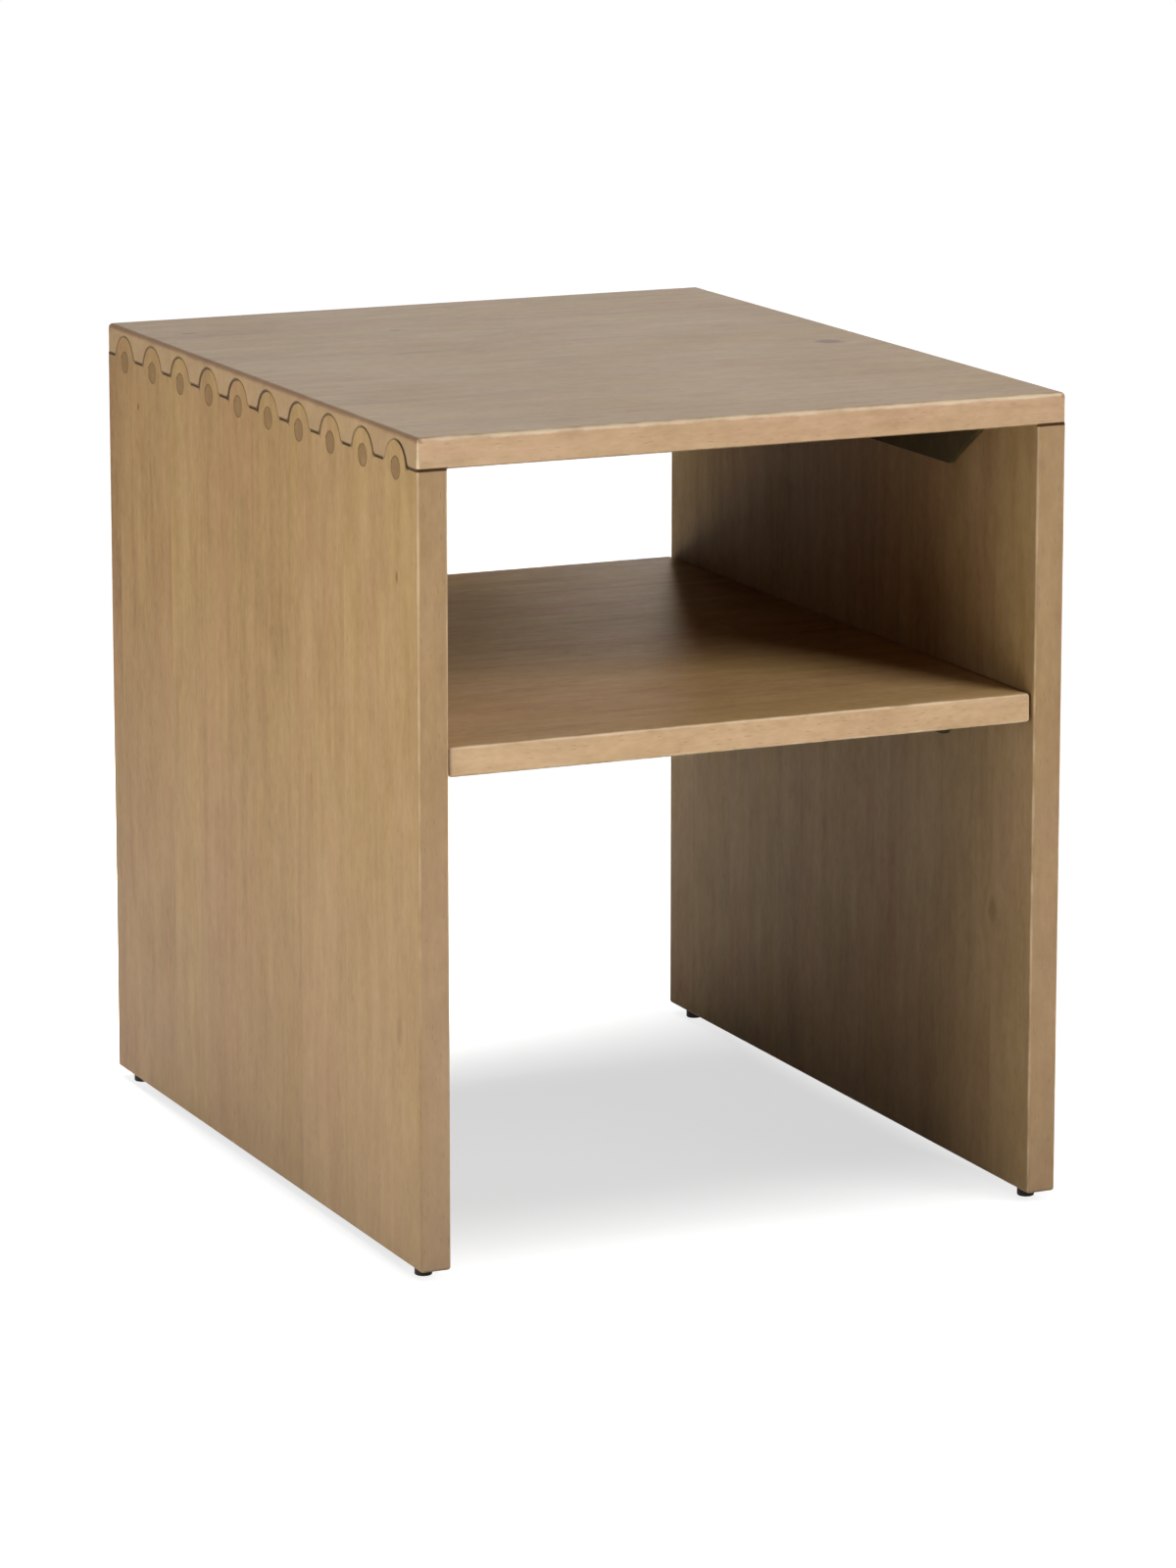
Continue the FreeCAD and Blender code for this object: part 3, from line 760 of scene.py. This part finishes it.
# %% Lacquer
NAP_TONE, NAP_ROUGHNESS = "DDB380", 0.5
LACQUER = (0.55, 0.05)              # roughness and specular level
RUBBED_LACQUER = (0.5, 0.22)        # of the top, polished by use
DULL_LACQUER = (0.7, 0.001)         # of the shelf
GLOSS_FIGURE = (70, 120, 2, 0.1)    # mm across, mm along, detail and strength
FIBRE_GLOSS = 0.25                  # how much the fibres roughen the lacquer
RELIEF_FIGURE = (5, 60, 2, 0.5)
PORE_DEPTH = -0.6                   # against the fibres' height
RELIEF_STRENGTH, RELIEF_HEIGHT = 0.35, 0.12 * MM


def lacquered(tree, tint, place, spot, fibres, vessels, lacquer, nap):
    """Surface of satin lacquer over a tint, with fibres and open pores in its relief."""
    roughness, level = lacquer
    gloss = total(tree, [roughness, figure(tree, place, *GLOSS_FIGURE),
                         add(tree, "Math", [fibres, FIBRE_GLOSS], operation="MULTIPLY")])
    relief = add(tree, "Math", [vessels, PORE_DEPTH], operation="MULTIPLY")
    relief = total(tree, [relief, fibres, figure(tree, spot, *RELIEF_FIGURE)])
    bump = add(tree, "Bump", {"Strength": RELIEF_STRENGTH, "Distance": RELIEF_HEIGHT,
                              "Height": relief})
    wood = add(tree, "BsdfPrincipled", {"Base Color": tint, "Roughness": gloss,
                                        "Normal": bump})
    wood.inputs["Specular IOR Level"].default_value = level
    wood.inputs["Sheen Weight"].default_value = nap
    wood.inputs["Sheen Roughness"].default_value = NAP_ROUGHNESS
    wood.inputs["Sheen Tint"].default_value = colour(NAP_TONE)
    return wood


print("lacquer roughness:", LACQUER[0], " top:", RUBBED_LACQUER[0], " shelf:", DULL_LACQUER[0])

# %% [markdown]
# ## Wood: the whole finish
# Here the layers meet, from the place in the board to the lacquer. An arris is pale where hands
# rub it, with a painted highlight, red-brown along the top's ends, darker on the panels near
# the floor, and under the lower edges of the top and the shelf a thin line of painted shade.

# %% Stained and lacquered hardwood
# Pale arris: wear and a painted highlight. Dark arris: painted shade under lower edges, and
# panels darker near the floor.
WORN_STAIN_AND_PAINTED_HIGHLIGHT, RED_STAIN, DARK_EDGE_BROWN = "F2D9B6", "8A5A3B", "5E4028"
# The gap's brown is stain and dirt, and painted shade inside the gap.
GAP_BROWN = "4C341B"


def hardwood(name, middle, turn, staves, grain, edge, arrises=(), knots=(), dark=0.0,
             painted_floor_reflection=0.0, lacquer=LACQUER, nap=0.0):
    """Edge-glued hardwood under a brown stain and a satin lacquer."""
    material, tree, output = new_material(name)
    place = board_place(tree, middle, turn)
    knot, place = knot_masks(tree, place, knots)
    stave_dark, warm, start, sideways = stave_values(tree, place, staves)
    spot = shifted_place(tree, place, start)

    fibres = figure(tree, spot, *FIBRES)
    layers = [figure(tree, spot, *layer) for layer in FIGURE_LAYERS]
    rings = growth_rings(tree, place, spot, start, sideways, RING_STRENGTH)
    depth = total(tree, [MEAN_DEPTH + dark, stave_dark, *layers, fibres, rings])
    tint = add(tree, "ValToRGB", [depth], stops=[
        (0.0, colour(PALE)), (1.0, colour(DEEP)), (0.5, colour(MIDDLE))])
    normal = add(tree, "TexCoord").outputs["Normal"]
    tint = edge_tint(tree, depth, tint, normal, edge)
    tint = warmed(tree, tint, spot, warm)
    height = add(tree, "SeparateXYZ", [add(tree, "TexCoord").outputs["Object"]]).outputs["Z"]
    tint = greyed_by_painted_reflection(tree, tint, height, painted_floor_reflection)

    vessels = pores(tree, spot)
    tint = marked(tree, tint, vessels, knot, normal, grain)
    tint = arris_wear_and_painted_light(tree, tint, place, height, arrises)
    tint = add(tree, "Mix", [joint_line(tree), tint, colour(GAP_BROWN)], data_type="RGBA")
    wood = lacquered(tree, tint, place, spot, fibres, vessels, lacquer, nap)
    tree.links.new(wood.outputs[0], output.inputs["Surface"])
    print(name, "has", len(tree.nodes), "nodes")
    return material


def dress(node, material):
    """Put one material on a piece of the joiner's model."""
    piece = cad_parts[node]
    piece.data.materials.clear()
    piece.data.materials.append(material)


# %% [markdown]
# ## The boards
# Each board has its own list of staves: the width in millimetres, how much darker than the
# rest, and how warm, from yellowish at 0.2 to reddish at 0.8. Staves are 50 to 120 mm wide.
# The top is rubbed pale along its front and its upright corners, with a painted highlight
# there, its ends stay red-brown, and a thin line of painted shade runs under its lower edges.

# %% Top
TOP_STAVES = [(70, 0.02, 0.55), (84, -0.03, 0.45), (62, 0.03, 0.5), (78, 0.0, 0.6),
              (66, -0.02, 0.4), (58, 0.04, 0.55), (88, 0.0, 0.45), (54, 0.03, 0.6),
              (70, -0.02, 0.5)]
TOP_KNOTS = [(-12, -215, 26, 26, 0.85), (232, 220, 10, 16, 0.45), (184, 67, 12, 14, 0.3),
             (65, 97, 10, 62, 0.3), (102, -175, 12, 20, 0.25)]

low, high, middle = box_of("table_top")
front_arris = (Vector((-NO_EDGE, low.y, -NO_EDGE)), Vector((NO_EDGE, high.y, high.z)))
corner_arris = (Vector((low.x, low.y, -NO_EDGE)), Vector((high.x, high.y, NO_EDGE)))
end_arris = (Vector((low.x, -NO_EDGE, -NO_EDGE)), Vector((high.x, NO_EDGE, high.z)))
dress("table_top", hardwood(
    "edge_glued_hardwood_top", middle, ALONG_X, TOP_STAVES, (1, 0, 0), SAWN_EDGE,
    arrises=[(*front_arris, WORN_STAIN_AND_PAINTED_HIGHLIGHT, 0.95, 3.4, 24, ALL_HEIGHTS),
             (*end_arris, RED_STAIN, 0.5, 4.6, 45, ALL_HEIGHTS),
             (*corner_arris, WORN_STAIN_AND_PAINTED_HIGHLIGHT, 0.9, 2.4, 26, ALL_HEIGHTS),
             (*lower_arris(low, high), DARK_EDGE_BROWN, 0.6, 1.2, 9, ALL_HEIGHTS)],
    knots=TOP_KNOTS, lacquer=RUBBED_LACQUER))

# %% [markdown]
# ## The panels
# The panels stand with their grain upright. Their edges are worn pale, with a painted
# highlight, on the left one only above knee height, and near the floor they darken.

# %% Panels
LEFT_STAVES = [(75, -0.13, 0.4), (62, -0.1, 0.4), (88, -0.05, 0.5), (90, 0.04, 0.4),
               (58, 0.06, 0.6), (62, 0.0, 0.55), (55, -0.04, 0.4), (115, 0.05, 0.55),
               (25, 0.14, 0.6)]
LEFT_KNOTS = [(247, 248, 5, 7, 0.6), (-277, 201, 6, 11, 0.5), (-277, -130, 13, 26, 0.2)]
RIGHT_STAVES = [(60, -0.06, 0.4), (85, 0.0, 0.5), (70, -0.05, 0.45), (95, -0.02, 0.55),
                (64, -0.02, 0.5), (80, 0.03, 0.4), (58, 0.0, 0.6), (72, 0.03, 0.45),
                (46, -0.01, 0.5)]
RIGHT_KNOTS = [(-255, -94, 16, 24, 0.35)]
ABOVE_KNEE = (0.16, 0.42)           # metres, where the pale edge starts and where it is full
NEAR_FLOOR = (0.5, 0.1)             # metres, the same for the darker edges
# The grey share paints the floor's reflection on each panel, more on the left one.
for side, staves, knots, grey, pale_heights in (
        ("left", LEFT_STAVES, LEFT_KNOTS, 0.32, ABOVE_KNEE),
        ("right", RIGHT_STAVES, RIGHT_KNOTS, 0.12, ALL_HEIGHTS)):
    low, high, middle = box_of("side_panel_" + side)
    top_end = Vector((high.x, high.y, NO_EDGE))
    dress("side_panel_" + side, hardwood(
        "edge_glued_hardwood_panel_" + side, middle, UPRIGHT, staves, (0, 0, 1), PLANED_EDGE,
        arrises=[(low, top_end, WORN_STAIN_AND_PAINTED_HIGHLIGHT, 0.5, 1.9, 30, pale_heights),
                 (low, top_end, DARK_EDGE_BROWN, 0.5, 1.0, 9, NEAR_FLOOR)],
        knots=knots, painted_floor_reflection=grey))

# %% [markdown]
# ## The shelf and the pins
# The shelf is rubbed pale all round, with a painted highlight, and a thin line of painted shade
# runs under its lower edges. The pins are cut from long dowels and show their dark end grain,
# whose tone changes along the row.

# %% Shelf and pins
SHELF_STAVES = [(72, -0.02, 0.45), (60, 0.03, 0.5), (90, 0.0, 0.4), (66, 0.02, 0.55),
                (78, -0.03, 0.5), (58, 0.02, 0.45), (84, 0.0, 0.6), (64, 0.03, 0.5),
                (52, 0.0, 0.4)]
PIN_STAVES = [(61.3, 0.1 * (count % 3), 0.5) for count in range(9)]
PIN_DARK = 0.5
SHELF_NAP = 0.22

low, high, middle = box_of("shelf")
dress("shelf", hardwood(
    "edge_glued_hardwood_shelf", middle, ALONG_X, SHELF_STAVES, (1, 0, 0), SAWN_EDGE,
    arrises=[(low, high, WORN_STAIN_AND_PAINTED_HIGHLIGHT, 0.8, 2.4, 28, ALL_HEIGHTS),
             (*lower_arris(low, high), DARK_EDGE_BROWN, 0.6, 1.4, 9, ALL_HEIGHTS)],
    lacquer=DULL_LACQUER, nap=SHELF_NAP))
for side in ("left", "right"):
    middle = box_of("joint_pins_" + side)[2]
    dress("joint_pins_" + side, hardwood(
        "hardwood_dowel_" + side, middle, ALONG_X, PIN_STAVES, (1, 0, 0), PLANED_EDGE,
        dark=PIN_DARK))

# %% [markdown]
# ## Steel and plastic
# The brackets are bent steel under a dark bronze powder coat, which dries with a fine orange
# peel, about 0.7 mm from bump to bump, and hardly shines. The screws are steel with a thin
# dark zinc coat, a metal to the eye, brighter where the tool turned. The glides are moulded
# black plastic, scuffed by the floor. Its spark-eroded grain is really about 0.05 mm, too fine
# to show, so it is drawn at 0.4 mm, and the crystals of the zinc at 0.5 mm.

# %% Powder coat, zinc and plastic
CLOUD_SIZE = 14                     # mm, of the rubbed places
CLOUD_DETAIL, CLOUD_ROUGHNESS = 4.0, 0.6
CLOUD_RANGE = (0.3, 0.7)            # values that the clouds keep to
RUBBED = (0.48, 0.72, 0.0, 0.5)     # where they start and are full, and how much they show
GLOSS_STEP = 0.08                   # how much rougher or smoother the clouds make a coat
GRIT_DETAIL = 2.0
COAT_RELIEF = 0.5


def plain_place(tree, size):
    """Object coordinates scaled so that one step is so many millimetres."""
    here = add(tree, "TexCoord").outputs["Object"]
    step = 1 / (size * MM)
    return add(tree, "VectorMath", [here, (step, step, step)], operation="MULTIPLY")


def coated(name, base, worn, roughness, metallic, grit, relief, level=0.5):
    """Thin even coat with a fine relief and cloudy rubbed places; grit and relief in mm."""
    material, tree, output = new_material(name)
    clouds = add(tree, "TexNoise", {"Vector": plain_place(tree, CLOUD_SIZE), "Scale": 1.0,
                                    "Detail": CLOUD_DETAIL, "Roughness": CLOUD_ROUGHNESS})
    rubbed = add(tree, "MapRange", [clouds, *RUBBED])
    tint = add(tree, "Mix", [rubbed, colour(base), colour(worn)], data_type="RGBA")
    grain = add(tree, "TexNoise", {"Vector": plain_place(tree, grit), "Scale": 1.0,
                                   "Detail": GRIT_DETAIL})
    bump = add(tree, "Bump", {"Strength": COAT_RELIEF, "Distance": relief * MM,
                              "Height": grain})
    gloss = add(tree, "MapRange", [clouds, *CLOUD_RANGE, roughness - GLOSS_STEP,
                                   roughness + GLOSS_STEP])
    surface = add(tree, "BsdfPrincipled", {"Base Color": tint, "Roughness": gloss,
                                           "Metallic": metallic, "Normal": bump})
    surface.inputs["Specular IOR Level"].default_value = level
    tree.links.new(surface.outputs[0], output.inputs["Surface"])
    return material


# Powder coat: a matt skin, so its highlights are broad and dim.
bronze = coated("bronze_powder_coat", "594C34", "6C6044", 0.65, 0.0, 0.7, 0.08, level=0.02)
# Zinc plate: a thin dark film on metal, so it mirrors what is round it, but darker.
zinc = coated("dark_zinc_plate", "4A4640", "8A857B", 0.35, 1.0, 0.5, 0.02)
# Moulded plastic: the mould's fine grain all over, so it is evenly dull.
plastic = coated("moulded_black_plastic", "2A231C", "453B30", 0.6, 0.0, 0.4, 0.03, level=0.2)
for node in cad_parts:
    if "screw" in node:
        dress(node, zinc)
    elif "bracket" in node:
        dress(node, bronze)
    elif "glide" in node:
        dress(node, plastic)
print("dressed:", sorted({piece.data.materials[0].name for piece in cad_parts.values()}))

# %% [markdown]
# ## Colour management
# The Standard view shows each colour about as it is written. Nothing was moved or resized, so
# the box of the dressed table has to equal the joiner's.

# %% Finish
bpy.context.scene.view_settings.view_transform = "Standard"
